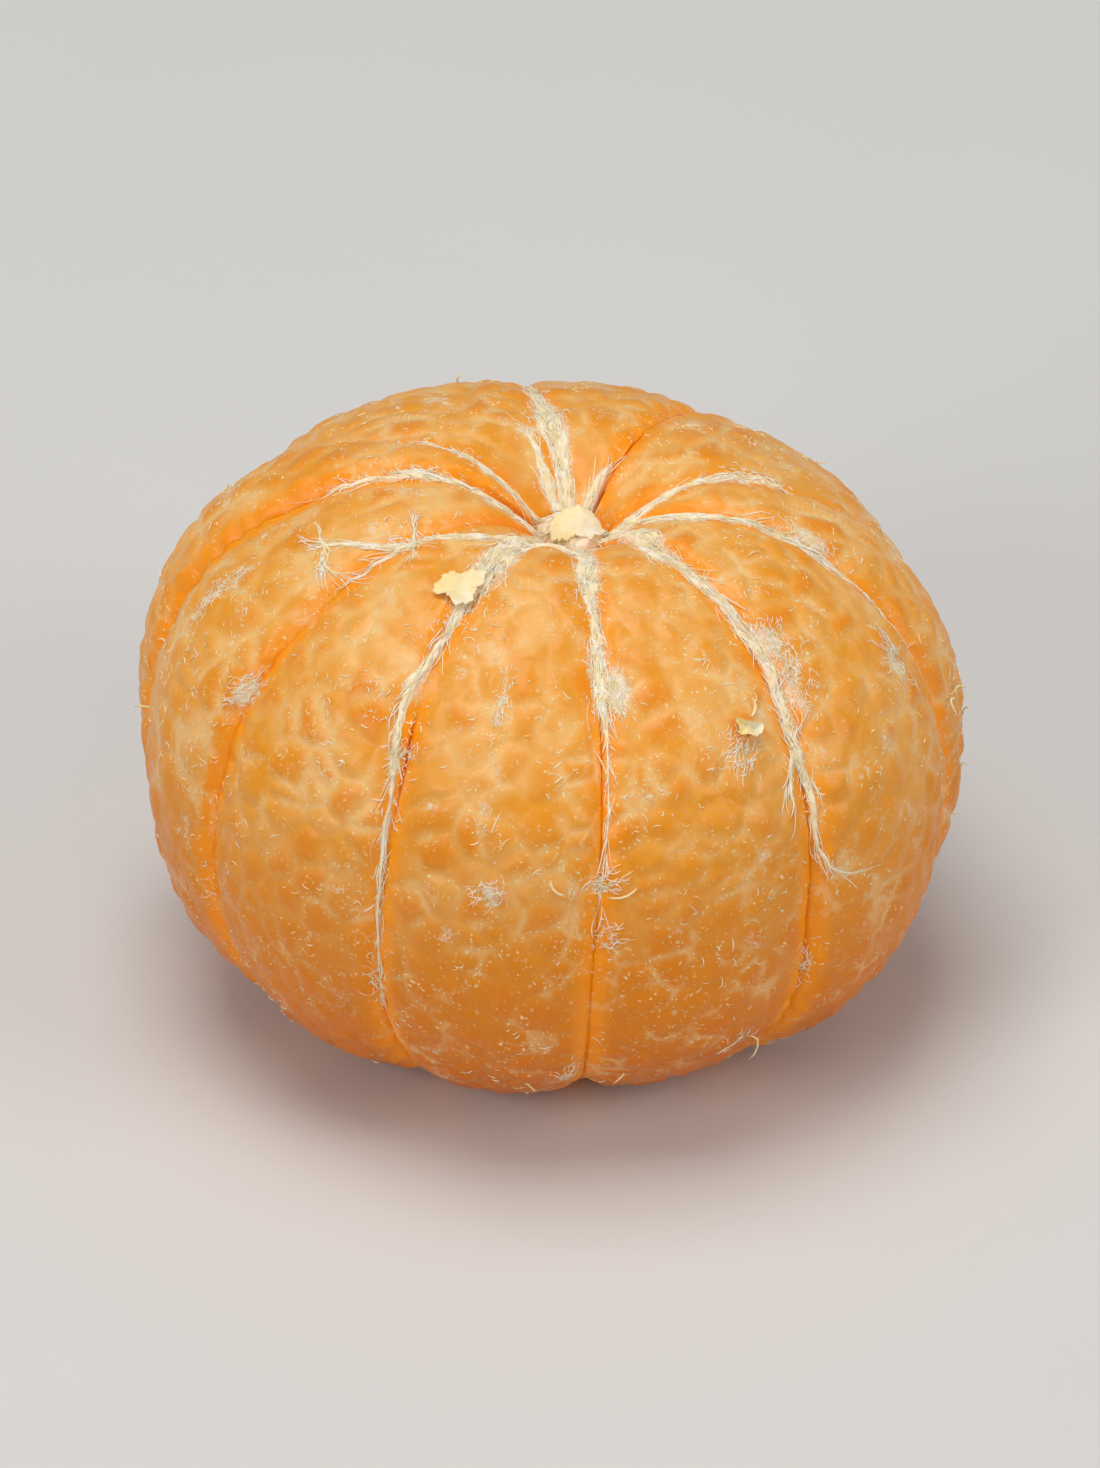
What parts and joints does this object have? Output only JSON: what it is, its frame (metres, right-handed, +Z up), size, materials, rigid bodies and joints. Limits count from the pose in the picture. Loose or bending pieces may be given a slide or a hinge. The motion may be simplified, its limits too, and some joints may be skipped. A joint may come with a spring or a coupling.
{
  "type": "mandarin",
  "caption": "Peeled mandarin: its segments stand round a white core, with threads of pith lying in the grooves between them.",
  "frame": {"origin": "middle of the underside, on the surface that the fruit rests on", "axes": "+Z up along the core, -Y towards the front with the longest threads, +X to the right"},
  "size_m": [0.0592, 0.0576, 0.043],
  "materials": {
    "membrane": "moist satin membrane over orange juice sacs",
    "pith": "dry matt white fibre"
  },
  "bodies": {
    "root": {"segment_01": "membrane", "segment_02": "membrane", "segment_03": "membrane", "segment_04": "membrane", "segment_05": "membrane", "segment_06": "membrane", "segment_07": "membrane", "segment_08": "membrane", "segment_09": "membrane", "segment_10": "membrane", "pith": "pith"}
  },
  "joints": []
}
